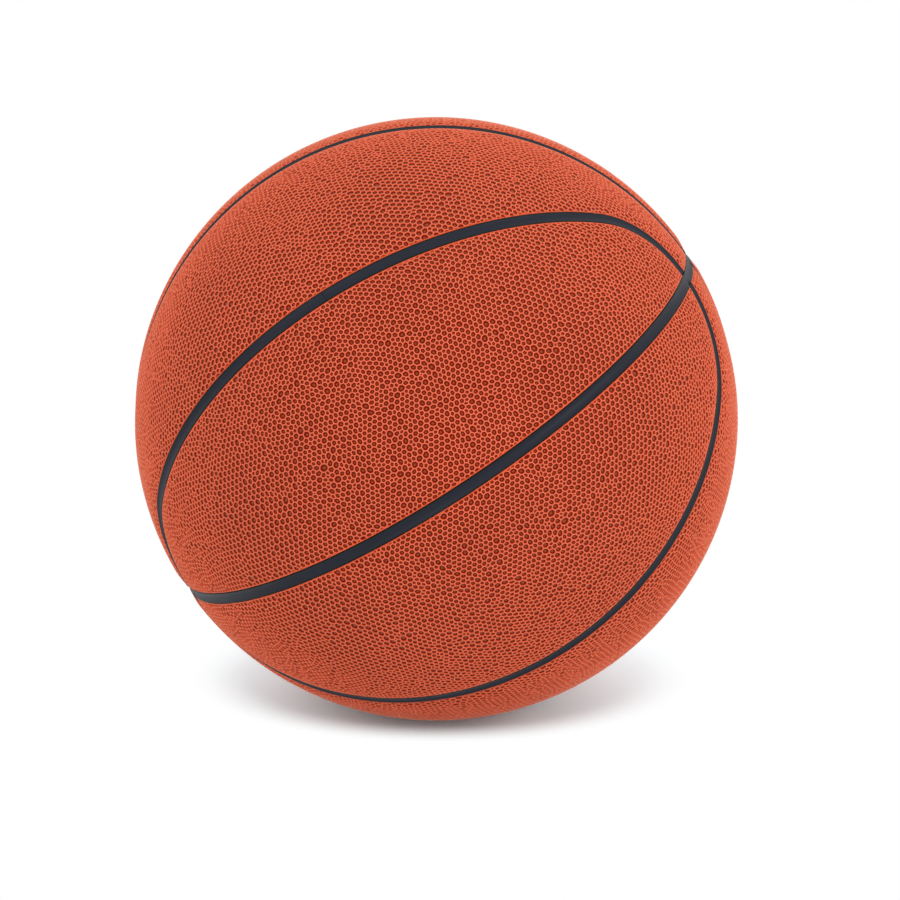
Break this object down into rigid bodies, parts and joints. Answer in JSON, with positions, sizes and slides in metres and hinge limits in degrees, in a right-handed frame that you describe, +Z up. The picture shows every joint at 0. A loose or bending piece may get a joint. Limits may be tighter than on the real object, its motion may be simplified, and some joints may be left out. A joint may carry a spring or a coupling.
{
  "type": "basketball",
  "caption": "Match basketball, inflated: pebbled composite leather panels with rolled edges over foam, recessed rubber channel strips, moulded carcass, wound layer, bladder and needle valve.",
  "frame": {"origin": "centre of the ball", "axes": "+Z up as the ball lies, the camera of the picture looks along about +Y, +X to its right"},
  "size_m": [0.2416, 0.2416, 0.2418],
  "materials": {
    "leather": "pebbled, low sheen",
    "rubber": "smooth, satin",
    "foam": "matt foam",
    "carcass_rubber": "matt",
    "nylon": "wound thread",
    "butyl": "satin",
    "valve_rubber": "satin"
  },
  "bodies": {
    "root": {"strip_through": "rubber", "strip_cross_upper": "rubber", "strip_cross_lower": "rubber", "strip_oval_front_upper": "rubber", "strip_oval_front_lower": "rubber", "strip_oval_back_upper": "rubber", "strip_oval_back_lower": "rubber", "panel_front_upper": "leather", "panel_front_lower": "leather", "panel_back_upper": "leather", "panel_back_lower": "leather", "panel_side_front_upper": "leather", "panel_side_front_lower": "leather", "panel_side_back_upper": "leather", "panel_side_back_lower": "leather", "backing_front_upper": "foam", "backing_front_lower": "foam", "backing_back_upper": "foam", "backing_back_lower": "foam", "backing_side_front_upper": "foam", "backing_side_front_lower": "foam", "backing_side_back_upper": "foam", "backing_side_back_lower": "foam", "bladder": "butyl", "valve_seat": "valve_rubber", "valve_plug": "valve_rubber", "winding": "nylon", "carcass": "carcass_rubber"}
  },
  "joints": []
}
